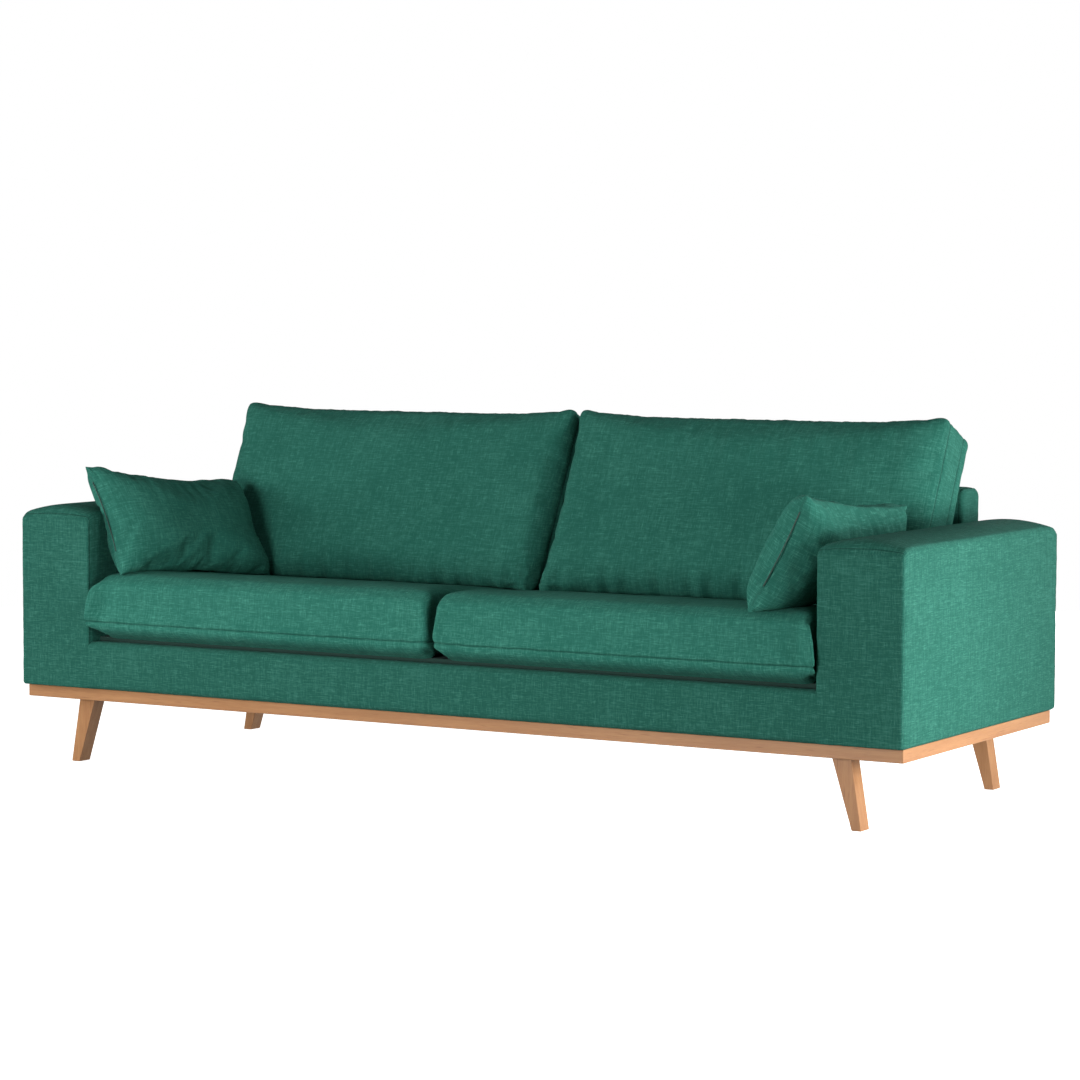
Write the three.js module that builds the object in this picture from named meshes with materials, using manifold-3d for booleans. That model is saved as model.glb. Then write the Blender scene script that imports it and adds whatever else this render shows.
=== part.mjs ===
// Two-cushion sofa on a wooden plinth with four splayed, tapered legs.
// Millimetres. +X is to the right seen from the front, +Y to the back, +Z up.
// The origin is on the floor under the middle of the sofa.
import * as THREE from "three";
import { mergeVertices } from "three/addons/utils/BufferGeometryUtils.js";
import Module from "manifold-3d";

const wasm = await Module();
wasm.setup();

// Overall sizes and the clearance kept between touching pieces.
const sofaWidth = 2240;
const sofaDepth = 820;
const clearance = 0.3;

// How far a cutter runs past the face it opens, and how near two points are the same.
const overshoot = 1;
const weldDistance = 1e-3;

// Base: legs, then a flat mitred frame of wood, then the upholstered body.
const legHeight = 150;
const leg = { topWidth: 42.7, footWidth: 21.3, depth: 40, topX: 964, footX: 999.5, setBack: 44 };
const plinth = { height: 27.5, board: 72, insetSide: 6, insetFront: 16 };
const bolt = { radius: 4, inLeg: 45, hole: 4.4, sides: 12 };
const teeNut = { flange: 12, flangeHeight: 1.6, barrel: 5.4, barrelLength: 12, bore: 4.35 };
const bodyBottom = legHeight + plinth.height + clearance;

// Upholstered body. Foam is the padding thickness round the wooden frames.
const arm = { width: 195, shoulder: 571, crown: 29, shoulderRadius: 22, foam: 22 };
const border = { top: 288, thickness: 42, foam: 10, footRadius: 4, rearRadius: 8, frontRadius: 14 };
const back = { thickness: 97, top: 663, topRadius: 24, footRadius: 14, foam: 17, post: 45, rail: 60 };
const edgeRound = 8;
const frameBoard = 20;

// Seat suspension between the front rail and the rear rail.
const seatRail = { thickness: 24, bottom: 180, top: 276 };
const spring = {
  perSeat: 4,
  wire: 1.9,
  halfWaves: 16,
  stepsPerHalfWave: 4,
  swing: 24,
  z: 280.5,
  startGap: 2,
};
const deckPad = { bottom: 285, top: 297 };
const dustCoverThickness = 1.2;
const webbing = { count: 4, width: 70, thickness: 2 };

// Loose cushions. The seat falls from its crest towards the back.
const seatCushion = {
  width: 919,
  middleGap: 1,
  bottom: 300,
  top: 448.5,
  crest: -300,
  fall: 0.093,
  front: -408,
  rear: 306,
  round: 34,
  crestRound: 30,
};
const backCushion = {
  width: 912,
  thickness: 152,
  leanDegrees: 26,
  seatGap: 1,
  topFrontY: 228,
  topFrontZ: 833,
  round: 26,
  centres: { left: -462, right: 459 },
};
const pillow = {
  length: 476,
  height: 275,
  thickness: 110,
  facePower: 1.2,
  edgePower: 0.55,
  around: 24,
  down: 12,
  pitchDegrees: -5.3,
  places: {
    left: { at: [-835, -170, 563], leanDegrees: 30, yawDegrees: 9 },
    right: { at: [832, -170, 565], leanDegrees: 27, yawDegrees: 1 },
  },
};

const frontY = -sofaDepth / 2;
const rearY = sofaDepth / 2;
const armInnerX = sofaWidth / 2 - arm.width;
const betweenArms = 2 * (armInnerX - clearance);
const backFrontY = rearY - back.thickness;
const sides = { left: -1, right: 1 };
const ends = { front: -1, rear: 1 };

const fabric = new THREE.MeshStandardMaterial({ color: 0x2a6a58, roughness: 0.95, metalness: 0 });
const pillowFabric = fabric.clone();
const paleWood = new THREE.MeshStandardMaterial({ color: 0xc3905f, roughness: 0.5, metalness: 0 });
const roughWood = new THREE.MeshStandardMaterial({ color: 0xcdb48c, roughness: 0.8, metalness: 0 });
const steel = new THREE.MeshStandardMaterial({ color: 0x9a9c9e, roughness: 0.4, metalness: 1 });
const strapping = new THREE.MeshStandardMaterial({ color: 0x2b2b2b, roughness: 0.9, metalness: 0 });
const felt = new THREE.MeshStandardMaterial({ color: 0x3a3c3b, roughness: 1, metalness: 0 });

const sofa = new THREE.Group();

function addPiece(name, geometry, material, parent = sofa) {
  const mesh = new THREE.Mesh(geometry, material);
  mesh.name = name;
  parent.add(mesh);
  return mesh;
}

// A closed geometry as a solid that can be cut.
function toSolid(geometry) {
  const bare = geometry.clone();
  bare.deleteAttribute("normal");
  bare.deleteAttribute("uv");
  const merged = mergeVertices(bare, weldDistance);
  const mesh = new wasm.Mesh({
    numProp: 3,
    vertProperties: new Float32Array(merged.attributes.position.array),
    triVerts: new Uint32Array(merged.index.array),
  });
  return new wasm.Manifold(mesh);
}

function toGeometry(solid) {
  const mesh = solid.getMesh();
  const geometry = new THREE.BufferGeometry();
  geometry.setAttribute("position", new THREE.BufferAttribute(mesh.vertProperties, 3));
  geometry.setIndex(new THREE.BufferAttribute(mesh.triVerts, 1));
  geometry.computeVertexNormals();
  return geometry;
}

function cut(geometry, ...cutters) {
  let solid = toSolid(geometry);
  for (const cutter of cutters) {
    solid = solid.subtract(toSolid(cutter));
  }
  return toGeometry(solid);
}

// A box from its lowest corner to its highest corner.
function boxBetween(low, high) {
  const size = high.map((value, axis) => value - low[axis]);
  const box = new THREE.BoxGeometry(...size);
  const centre = high.map((value, axis) => (value + low[axis]) / 2);
  return box.translate(...centre);
}

// An outline drawn in X and Z, carried along Y from yLow to yHigh, its end edges rounded.
function alongY(outline, yLow, yHigh, round = 0) {
  const geometry = new THREE.ExtrudeGeometry(outline, {
    depth: yHigh - yLow - 2 * round,
    bevelEnabled: round > 0,
    bevelThickness: round,
    bevelSize: round,
    bevelOffset: -round,
    bevelSegments: 2,
    curveSegments: 5,
  });
  return geometry.rotateX(Math.PI / 2).translate(0, yHigh - round, 0);
}

// An outline drawn in Y and Z, carried along X from xLow to xHigh, its end edges rounded.
function alongX(outline, xLow, xHigh, round = 0) {
  const geometry = new THREE.ExtrudeGeometry(outline, {
    depth: xHigh - xLow - 2 * round,
    bevelEnabled: round > 0,
    bevelThickness: round,
    bevelSize: round,
    bevelOffset: -round,
    bevelSegments: 3,
    curveSegments: 4,
  });
  return geometry.rotateX(Math.PI / 2).rotateZ(Math.PI / 2).translate(xLow + round, 0, 0);
}

// A polygon with each corner rounded by its own radius.
function roundedOutline(corners) {
  const shape = new THREE.Shape();
  corners.forEach(([x, y, radius], index) => {
    const here = new THREE.Vector2(x, y);
    const before = corners[(index + corners.length - 1) % corners.length];
    const after = corners[(index + 1) % corners.length];
    const entry = new THREE.Vector2(before[0], before[1]).sub(here).setLength(radius).add(here);
    const exit = new THREE.Vector2(after[0], after[1]).sub(here).setLength(radius).add(here);
    if (index === 0) {
      shape.moveTo(entry.x, entry.y);
    } else {
      shape.lineTo(entry.x, entry.y);
    }
    shape.quadraticCurveTo(x, y, exit.x, exit.y);
  });
  shape.closePath();
  return shape;
}

// ---- Base ----

// A cutter for the leg bolt: a plain hole with room for the tee nut at the top of the board.
function boltHoleCutter(x, y) {
  const top = legHeight + plinth.height + overshoot;
  const flangeFloor = top - overshoot - teeNut.flangeHeight - clearance;
  const barrelFloor = flangeFloor - teeNut.barrelLength - clearance;
  const profile = [
    [0, legHeight - overshoot],
    [bolt.hole, legHeight - overshoot],
    [bolt.hole, barrelFloor],
    [teeNut.barrel + clearance, barrelFloor],
    [teeNut.barrel + clearance, flangeFloor],
    [teeNut.flange + clearance, flangeFloor],
    [teeNut.flange + clearance, top],
    [0, top],
  ];
  const points = profile.map(([radius, z]) => new THREE.Vector2(radius, z));
  return new THREE.LatheGeometry(points, bolt.sides).rotateX(Math.PI / 2).translate(x, y, 0);
}

// Front and rear boards run the full width and are mitred into the side boards.
function plinthBoards() {
  const outerX = sofaWidth / 2 - plinth.insetSide;
  const outerY = sofaDepth / 2 - plinth.insetFront;
  const legY = sofaDepth / 2 - leg.setBack - leg.depth / 2;
  for (const [end, way] of Object.entries(ends)) {
    const outline = new THREE.Shape([
      new THREE.Vector2(-outerX + clearance, way * outerY),
      new THREE.Vector2(outerX - clearance, way * outerY),
      new THREE.Vector2(outerX - plinth.board - clearance, way * (outerY - plinth.board)),
      new THREE.Vector2(-outerX + plinth.board + clearance, way * (outerY - plinth.board)),
    ]);
    const board = new THREE.ExtrudeGeometry(outline, { depth: plinth.height, bevelEnabled: false });
    board.translate(0, 0, legHeight);
    const holes = Object.values(sides).map((side) => boltHoleCutter(side * leg.topX, way * legY));
    addPiece(`plinth_board_${end}`, cut(board, ...holes), paleWood);
  }
  for (const [side, way] of Object.entries(sides)) {
    const outline = new THREE.Shape([
      new THREE.Vector2(way * outerX, -outerY),
      new THREE.Vector2(way * outerX, outerY),
      new THREE.Vector2(way * (outerX - plinth.board), outerY - plinth.board),
      new THREE.Vector2(way * (outerX - plinth.board), -outerY + plinth.board),
    ]);
    const board = new THREE.ExtrudeGeometry(outline, { depth: plinth.height, bevelEnabled: false });
    board.translate(0, 0, legHeight);
    addPiece(`plinth_board_${side}`, board, paleWood);
  }
  const braceY = outerY - plinth.board - clearance;
  const braceLow = [-plinth.board / 2, -braceY, legHeight];
  const braceHigh = [plinth.board / 2, braceY, legHeight + plinth.height];
  addPiece("plinth_brace", boxBetween(braceLow, braceHigh), roughWood);
}

// Each leg is tapered across its width only and leans outward towards the foot.
function legs() {
  const top = legHeight - clearance;
  for (const [end, wayY] of Object.entries(ends)) {
    for (const [side, wayX] of Object.entries(sides)) {
      const centreY = wayY * (sofaDepth / 2 - leg.setBack - leg.depth / 2);
      const outline = new THREE.Shape([
        new THREE.Vector2(wayX * leg.footX - leg.footWidth / 2, 0),
        new THREE.Vector2(wayX * leg.footX + leg.footWidth / 2, 0),
        new THREE.Vector2(wayX * leg.topX + leg.topWidth / 2, top),
        new THREE.Vector2(wayX * leg.topX - leg.topWidth / 2, top),
      ]);
      const blank = alongY(outline, centreY - leg.depth / 2, centreY + leg.depth / 2);
      const depth = bolt.inLeg + 2 * overshoot;
      const hole = new THREE.CylinderGeometry(bolt.hole, bolt.hole, 2 * depth, bolt.sides);
      hole.rotateX(Math.PI / 2).translate(wayX * leg.topX, centreY, top);
      addPiece(`leg_${end}_${side}`, cut(blank, hole), paleWood);
      legFastener(`${end}_${side}`, wayX * leg.topX, centreY);
    }
  }
}

// A hanger bolt up through the board into a tee nut let into the board's upper side.
function legFastener(place, x, y) {
  const boltLow = legHeight - bolt.inLeg;
  const boltHigh = legHeight + plinth.height - clearance;
  const shank = new THREE.CylinderGeometry(bolt.radius, bolt.radius, boltHigh - boltLow, bolt.sides);
  shank.rotateX(Math.PI / 2).translate(x, y, (boltLow + boltHigh) / 2);
  addPiece(`leg_bolt_${place}`, shank, steel);
  const nutTop = legHeight + plinth.height;
  const flangeFloor = nutTop - teeNut.flangeHeight;
  const profile = [
    [teeNut.bore, nutTop],
    [teeNut.bore, flangeFloor - teeNut.barrelLength],
    [teeNut.barrel, flangeFloor - teeNut.barrelLength],
    [teeNut.barrel, flangeFloor],
    [teeNut.flange, flangeFloor],
    [teeNut.flange, nutTop],
    [teeNut.bore, nutTop],
  ];
  const points = profile.map(([radius, z]) => new THREE.Vector2(radius, z));
  const nut = new THREE.LatheGeometry(points, bolt.sides).rotateX(Math.PI / 2).translate(x, y, 0);
  addPiece(`tee_nut_${place}`, nut, steel);
}

// ---- Arms ----

// Square block with rounded shoulders and a slightly crowned top.
function armOutline(way) {
  const inner = way * armInnerX;
  const outer = (way * sofaWidth) / 2;
  const middle = (inner + outer) / 2;
  const r = arm.shoulderRadius;
  const shape = new THREE.Shape();
  shape.moveTo(inner, bodyBottom);
  shape.lineTo(inner, arm.shoulder - r);
  shape.quadraticCurveTo(inner, arm.shoulder, inner + way * r, arm.shoulder);
  shape.quadraticCurveTo(middle, arm.shoulder + 2 * arm.crown, outer - way * r, arm.shoulder);
  shape.quadraticCurveTo(outer, arm.shoulder, outer, arm.shoulder - r);
  shape.lineTo(outer, bodyBottom);
  shape.closePath();
  return shape;
}

function arms() {
  for (const [side, way] of Object.entries(sides)) {
    const xs = [way * (armInnerX + arm.foam), way * (sofaWidth / 2 - arm.foam)].sort((a, b) => a - b);
    const [frontIn, rearIn] = [frontY + arm.foam, rearY - arm.foam];
    const roof = arm.shoulder - arm.foam;
    const cavity = boxBetween([xs[0], frontIn, bodyBottom - overshoot], [xs[1], rearIn, roof]);
    const padding = cut(alongY(armOutline(way), frontY, rearY, edgeRound), cavity);
    addPiece(`arm_cover_${side}`, padding, fabric);
    armFrame(side, xs[0] + clearance, xs[1] - clearance, frontIn + clearance, rearIn - clearance, roof);
  }
}

// Two posts between a bottom board and a top board, inside the padding.
function armFrame(side, xLow, xHigh, yLow, yHigh, roof) {
  const floor = bodyBottom + clearance;
  const lid = roof - clearance;
  const postLow = floor + frameBoard + clearance;
  const postHigh = lid - frameBoard - clearance;
  const boards = {
    bottom_board: [[xLow, yLow, floor], [xHigh, yHigh, floor + frameBoard]],
    top_board: [[xLow, yLow, lid - frameBoard], [xHigh, yHigh, lid]],
    front_post: [[xLow, yLow, postLow], [xHigh, yLow + frameBoard, postHigh]],
    rear_post: [[xLow, yHigh - frameBoard, postLow], [xHigh, yHigh, postHigh]],
  };
  for (const [name, [low, high]] of Object.entries(boards)) {
    addPiece(`arm_${name}_${side}`, boxBetween(low, high), roughWood);
  }
}

// ---- Seat base ----

function frontBorder() {
  const half = betweenArms / 2;
  const inner = frontY + border.thickness;
  const outline = roundedOutline([
    [frontY, bodyBottom, border.footRadius],
    [inner, bodyBottom, border.footRadius],
    [inner, border.top, border.rearRadius],
    [frontY, border.top, border.frontRadius],
  ]);
  const [railFront, railRear] = [frontY + border.foam, inner - border.foam];
  const cavityHalf = half - border.foam;
  const low = [-cavityHalf, railFront, bodyBottom - overshoot];
  const high = [cavityHalf, railRear, border.top - border.foam];
  addPiece("front_border_cover", cut(alongX(outline, -half, half), boxBetween(low, high)), fabric);
  const railLow = [-cavityHalf + clearance, railFront + clearance, bodyBottom + clearance];
  const railHigh = [cavityHalf - clearance, railRear - clearance, high[2] - clearance];
  addPiece("seat_rail_front", boxBetween(railLow, railHigh), roughWood);
}

function seatFrame() {
  const half = betweenArms / 2;
  const yLow = frontY + border.thickness + clearance;
  const yHigh = backFrontY - clearance;
  const rearLow = yHigh - seatRail.thickness;
  const { thickness, bottom, top } = seatRail;
  addPiece("seat_rail_rear", boxBetween([-half, rearLow, bottom], [half, yHigh, top]), roughWood);
  const railHigh = rearLow - clearance;
  for (const [side, way] of Object.entries(sides)) {
    const xs = [way * half, way * (half - thickness)].sort((a, b) => a - b);
    const rail = boxBetween([xs[0], yLow, bottom], [xs[1], railHigh, top]);
    addPiece(`seat_rail_${side}`, rail, roughWood);
  }
  const middle = boxBetween([-thickness / 2, yLow, bottom], [thickness / 2, railHigh, top]);
  addPiece("seat_rail_middle", middle, roughWood);
  seatSprings(yLow, rearLow + thickness / 2);
  addPiece("deck_pad", boxBetween([-half, yLow, deckPad.bottom], [half, yHigh, deckPad.top]), felt);
  const sheetTop = bodyBottom + dustCoverThickness;
  addPiece("dust_cover", boxBetween([-half, yLow, bodyBottom], [half, yHigh, sheetTop]), felt);
}

// Sinuous wire springs: a sine wave lying flat, from the front rail to the rear rail.
function seatSprings(yLow, yHigh) {
  const seatWidth = betweenArms / 2;
  const steps = spring.halfWaves * spring.stepsPerHalfWave;
  const wire = new THREE.Shape([
    new THREE.Vector2(spring.wire, 0),
    new THREE.Vector2(0, spring.wire),
    new THREE.Vector2(-spring.wire, 0),
    new THREE.Vector2(0, -spring.wire),
  ]);
  let number = 0;
  for (const way of Object.values(sides)) {
    for (let place = 0; place < spring.perSeat; place += 1) {
      number += 1;
      const x = way * seatWidth * ((place + 0.5) / spring.perSeat);
      const points = Array.from({ length: steps + 1 }, (_, step) => {
        const share = step / steps;
        const swing = spring.swing * Math.sin(share * spring.halfWaves * Math.PI);
        const start = yLow + spring.startGap;
        return new THREE.Vector3(x + swing, start + share * (yHigh - start), spring.z);
      });
      const path = new THREE.CatmullRomCurve3(points);
      const wave = new THREE.ExtrudeGeometry(wire, { steps, extrudePath: path });
      addPiece(`seat_spring_${number}`, wave, steel);
    }
  }
}

// ---- Back ----

function backPanel() {
  const half = betweenArms / 2;
  const outline = roundedOutline([
    [backFrontY, bodyBottom, back.footRadius],
    [rearY, bodyBottom, back.footRadius],
    [rearY, back.top, back.topRadius],
    [backFrontY, back.top, back.topRadius],
  ]);
  const [yLow, yHigh] = [backFrontY + back.foam, rearY - back.foam];
  const inside = half - back.foam;
  const roof = back.top - back.foam;
  const cavity = boxBetween([-inside, yLow, bodyBottom - overshoot], [inside, yHigh, roof]);
  addPiece("back_cover", cut(alongX(outline, -half, half, edgeRound), cavity), fabric);
  backFrame(inside - clearance, yLow + clearance, yHigh - clearance, roof - clearance);
}

// Posts between a bottom and a top rail, with elastic webbing in front of the posts.
function backFrame(half, yLow, yHigh, lid) {
  const floor = bodyBottom + clearance;
  const { post, rail: railHeight } = back;
  const frameY = yLow + webbing.thickness + clearance;
  const rails = { bottom: [floor, floor + railHeight], top: [lid - railHeight, lid] };
  for (const [place, [low, high]] of Object.entries(rails)) {
    const rail = boxBetween([-half, frameY, low], [half, yHigh, high]);
    addPiece(`back_rail_${place}`, rail, roughWood);
  }
  const [postLow, postHigh] = [rails.bottom[1] + clearance, rails.top[0] - clearance];
  const centres = { left: -half + post / 2, middle: 0, right: half - post / 2 };
  for (const [place, x] of Object.entries(centres)) {
    const low = [x - post / 2, frameY, postLow];
    addPiece(`back_post_${place}`, boxBetween(low, [x + post / 2, yHigh, postHigh]), roughWood);
  }
  for (let strap = 0; strap < webbing.count; strap += 1) {
    const x = (2 * half * (strap + 0.5)) / webbing.count - half;
    const low = [x - webbing.width / 2, yLow, floor + railHeight / 2];
    const high = [x + webbing.width / 2, yLow + webbing.thickness, lid - railHeight / 2];
    addPiece(`back_webbing_${strap + 1}`, boxBetween(low, high), strapping);
  }
}

// ---- Loose cushions ----

// The height of the seat behind its crest.
function seatTopAt(y) {
  return seatCushion.top - (y - seatCushion.crest) * seatCushion.fall;
}

function seatCushions() {
  const { width, middleGap, bottom, top, crest, front, rear, round, crestRound } = seatCushion;
  const outline = roundedOutline([
    [front, bottom, round],
    [rear, bottom, round],
    [rear, seatTopAt(rear), round],
    [crest, top, crestRound],
    [front, top, round],
  ]);
  for (const [side, way] of Object.entries(sides)) {
    const centre = way * (middleGap + width / 2);
    const cushion = alongX(outline, centre - width / 2, centre + width / 2, edgeRound);
    addPiece(`seat_cushion_${side}`, cushion, fabric);
  }
}

// Where a line down the cushion's lean from y and z meets the seat: [y, z], a gap above it.
function footOf(y, z, lean) {
  const drop = z - seatTopAt(y) - backCushion.seatGap;
  const along = (drop * Math.tan(lean)) / (1 + seatCushion.fall * Math.tan(lean));
  return [y - along, seatTopAt(y - along) + backCushion.seatGap];
}

// The back cushion leans on the back panel, and its lower end lies flat on the seat cushion.
function backCushions() {
  const lean = THREE.MathUtils.degToRad(backCushion.leanDegrees);
  const { thickness, topFrontY, topFrontZ, round, width } = backCushion;
  const topRearY = topFrontY + thickness * Math.cos(lean);
  const topRearZ = topFrontZ - thickness * Math.sin(lean);
  const outline = roundedOutline([
    [...footOf(topFrontY, topFrontZ, lean), round],
    [...footOf(topRearY, topRearZ, lean), round],
    [topRearY, topRearZ, round],
    [topFrontY, topFrontZ, round],
  ]);
  for (const [side, centre] of Object.entries(backCushion.centres)) {
    const cushion = alongX(outline, centre - width / 2, centre + width / 2, edgeRound);
    addPiece(`back_cushion_${side}`, cushion, fabric);
  }
}

// A sphere drawn out towards a flat rectangle with full corners and thin edges.
function pillowGeometry() {
  const geometry = new THREE.SphereGeometry(1, pillow.around, pillow.down);
  const position = geometry.attributes.position;
  const spread = (value, power) => Math.sign(value) * Math.abs(value) ** power;
  for (let index = 0; index < position.count; index += 1) {
    const x = position.getX(index);
    const y = position.getY(index);
    const z = position.getZ(index);
    const across = (spread(x, pillow.facePower) * pillow.thickness) / 2;
    const along = (spread(y, pillow.edgePower) * pillow.length) / 2;
    const up = (spread(z, pillow.edgePower) * pillow.height) / 2;
    position.setXYZ(index, across, along, up);
  }
  return geometry.rotateX(THREE.MathUtils.degToRad(pillow.pitchDegrees));
}

// The pillow's thickness lies along X, its length along Y and its height along Z before it leans.
function pillows() {
  for (const [side, way] of Object.entries(sides)) {
    const { at, leanDegrees, yawDegrees } = pillow.places[side];
    const holder = new THREE.Group();
    holder.position.set(...at);
    holder.rotation.set(0, 0, THREE.MathUtils.degToRad(way * yawDegrees));
    const mesh = addPiece(`lumbar_pillow_${side}`, pillowGeometry(), pillowFabric, holder);
    mesh.rotation.y = THREE.MathUtils.degToRad(way * leanDegrees);
    sofa.add(holder);
  }
}

plinthBoards();
legs();
arms();
frontBorder();
seatFrame();
backPanel();
seatCushions();
backCushions();
pillows();

export default sofa;
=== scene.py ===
import math

import bpy
import numpy as np
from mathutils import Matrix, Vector


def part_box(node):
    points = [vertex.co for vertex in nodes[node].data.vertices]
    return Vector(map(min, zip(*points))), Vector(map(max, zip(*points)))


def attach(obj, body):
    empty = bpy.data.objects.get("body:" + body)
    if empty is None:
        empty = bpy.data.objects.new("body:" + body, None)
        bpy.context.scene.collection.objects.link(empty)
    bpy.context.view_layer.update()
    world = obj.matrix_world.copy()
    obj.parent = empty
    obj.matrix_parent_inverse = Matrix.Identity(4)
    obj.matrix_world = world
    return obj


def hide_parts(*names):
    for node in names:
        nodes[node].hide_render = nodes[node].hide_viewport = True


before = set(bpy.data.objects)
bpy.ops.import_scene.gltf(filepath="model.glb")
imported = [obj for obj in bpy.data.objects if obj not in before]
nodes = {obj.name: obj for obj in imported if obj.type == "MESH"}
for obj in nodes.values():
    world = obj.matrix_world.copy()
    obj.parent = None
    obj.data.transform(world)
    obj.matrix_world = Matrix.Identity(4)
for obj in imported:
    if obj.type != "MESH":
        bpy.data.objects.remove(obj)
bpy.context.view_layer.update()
scene = bpy.context.scene
scene.view_settings.view_transform = "Standard"
print("frame loaded:", len(nodes), "nodes")


studio = {
    "cameraAt": (3.9014, -6.6217, 1.0805),
    "cameraTurn": (85.935, -0.21, 30.276),  # degrees
    "lens": 113.37,
    "backdropLight": 1.0,  # what the camera sees behind the sofa
    "fillLight": 0.05,  # what the backdrop throws on the sofa
    "floor": {"radius": 4.5, "colour": (0.84, 0.84, 0.83), "glow": 1.12},
    "softboxes": [
        # where it stands, what it points at, its side in metres, its watts
        ((-0.2, -3.2, 0.55), (0.1, -0.4, 0.38), 1.0, 74),
        ((-1.5, -4.0, 0.5), (0.0, 0.0, 0.4), 1.2, 20),
        ((-2.8, -1.6, 1.1), (0.0, 0.0, 0.45), 1.0, 44),
        ((2.3, -0.35, 0.35), (1.12, -0.1, 0.38), 0.45, 29),
        ((3.2, -1.0, 0.6), (1.1, 0.0, 0.4), 0.8, 26),
        ((3.5, 2.5, 1.6), (1.1, 0.0, 0.45), 1.0, 100),
        ((0.6, 0.1, 3.0), (0.0, 0.0, 0.4), 1.6, 12),
        ((-1.2, 4.6, 0.9), (0.0, 0.4, 0.5), 1.6, 60),
    ],
}


def buildStudio():
    camera = bpy.data.objects.new("camera", bpy.data.cameras.new("camera"))
    camera.data.lens = studio["lens"]
    camera.data.sensor_width = 36
    camera.data.clip_end = 100
    camera.location = studio["cameraAt"]
    camera.rotation_euler = [math.radians(a) for a in studio["cameraTurn"]]
    scene.collection.objects.link(camera)
    scene.camera = camera
    for number, (place, target, side, watts) in enumerate(studio["softboxes"]):
        lamp = bpy.data.lights.new(f"softbox_{number}", "AREA")
        lamp.size = side
        lamp.energy = watts
        holder = bpy.data.objects.new(lamp.name, lamp)
        holder.location = place
        holder.rotation_euler = (Vector(target) - Vector(place)).to_track_quat("-Z", "Y").to_euler()
        holder.visible_camera = False
        scene.collection.objects.link(holder)
    world = bpy.data.worlds.new("backdrop")
    scene.world = world
    world.use_nodes = True
    tree = world.node_tree
    background = tree.nodes["Background"]
    background.inputs["Color"].default_value = (1, 1, 1, 1)
    seen = tree.nodes.new("ShaderNodeLightPath").outputs["Is Camera Ray"]
    mix = tree.nodes.new("ShaderNodeMapRange")
    mix.inputs["To Min"].default_value = studio["fillLight"]
    mix.inputs["To Max"].default_value = studio["backdropLight"]
    tree.links.new(seen, mix.inputs["Value"])
    tree.links.new(mix.outputs["Result"], background.inputs["Strength"])


class Value:
    # a node's output; plain arithmetic on it adds Math nodes
    def __init__(self, tree, socket):
        self.tree = tree
        self.socket = socket

    def math(self, operation, other, swapped=False):
        node = self.tree.nodes.new("ShaderNodeMath")
        node.operation = operation
        parts = (other, self) if swapped else (self, other)
        for place, part in enumerate(parts):
            if isinstance(part, Value):
                self.tree.links.new(part.socket, node.inputs[place])
            else:
                node.inputs[place].default_value = part
        return Value(self.tree, node.outputs[0])

    def __add__(self, other):
        return self.math("ADD", other)

    def __sub__(self, other):
        return self.math("SUBTRACT", other)

    def __rsub__(self, other):
        return self.math("SUBTRACT", other, swapped=True)

    def __mul__(self, other):
        return self.math("MULTIPLY", other)

    __radd__ = __add__
    __rmul__ = __mul__


class Finish:
    # one material; add() makes any node: its type, its settings first, then its sockets' values or links
    def __init__(self, name):
        self.material = bpy.data.materials.new(name)
        self.material.use_nodes = True
        self.tree = self.material.node_tree
        self.tree.nodes.clear()

    def add(self, kind, settings=None, inputs=None, output=0):
        node = self.tree.nodes.new("ShaderNode" + kind)
        for key, value in (settings or {}).items():
            if key == "stops":
                for place, (at, colour) in enumerate(value):
                    stops = node.color_ramp.elements
                    stop = stops[place] if place < 2 else stops.new(at)
                    stop.position = at
                    stop.color = (*colour, 1)
            else:
                setattr(node, key, value)
        for key, value in (inputs or {}).items():
            if isinstance(value, Value):
                self.tree.links.new(value.socket, node.inputs[key])
            else:
                node.inputs[key].default_value = value
        return Value(self.tree, node.outputs[output]) if node.outputs else None

    def split(self, vector):
        node = self.tree.nodes.new("ShaderNodeSeparateXYZ")
        self.tree.links.new(vector.socket, node.inputs[0])
        return [Value(self.tree, part) for part in node.outputs]

    def noise(self, x, y, z, detail):
        where = self.add("CombineXYZ", None, {"X": x, "Y": y, "Z": z})
        settings = {"Vector": where, "Scale": 1.0, "Detail": detail, "Roughness": 0.5}
        return self.add("TexNoise", None, settings)

    def wave(self, value):
        return value.math("SINE", 0.0)

    def above(self, value, level):
        return (value - level).math("MAXIMUM", 0.0)

    def finish(self, **sockets):
        inputs = {socketNames[key]: value for key, value in sockets.items()}
        shader = self.add("BsdfPrincipled", None, inputs)
        self.add("OutputMaterial", None, {"Surface": shader})
        return self.material


socketNames = {
    "colour": "Base Color", "roughness": "Roughness", "metallic": "Metallic", "normal": "Normal",
    "sheen": "Sheen Weight", "sheenRoughness": "Sheen Roughness", "sheenTint": "Sheen Tint",
    "specular": "Specular IOR Level", "coat": "Coat Weight", "coatRoughness": "Coat Roughness",
    "glow": "Emission Color", "glowStrength": "Emission Strength",
}


cloth = {
    "dark": (0.0120, 0.083, 0.061),  # the shaded side of a thread
    "light": (0.043, 0.178, 0.134),  # a thick pale thread
    "thread": 0.0017,  # metres between threads
    "slubLength": 0.016,
    "slubWidth": 0.0015,
    "bump": 0.0008,
    "roughness": 0.92,
    "specular": 0.09,
    "sheen": 0.03,
    "sheenTint": (0.45, 1.0, 0.85, 1),
    "seamPaintedShade": (0.42, 0.46, 0.46, 1),  # painted shade: how much darker the colour is made along a seam, standing in for the shadow in its groove
}


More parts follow.
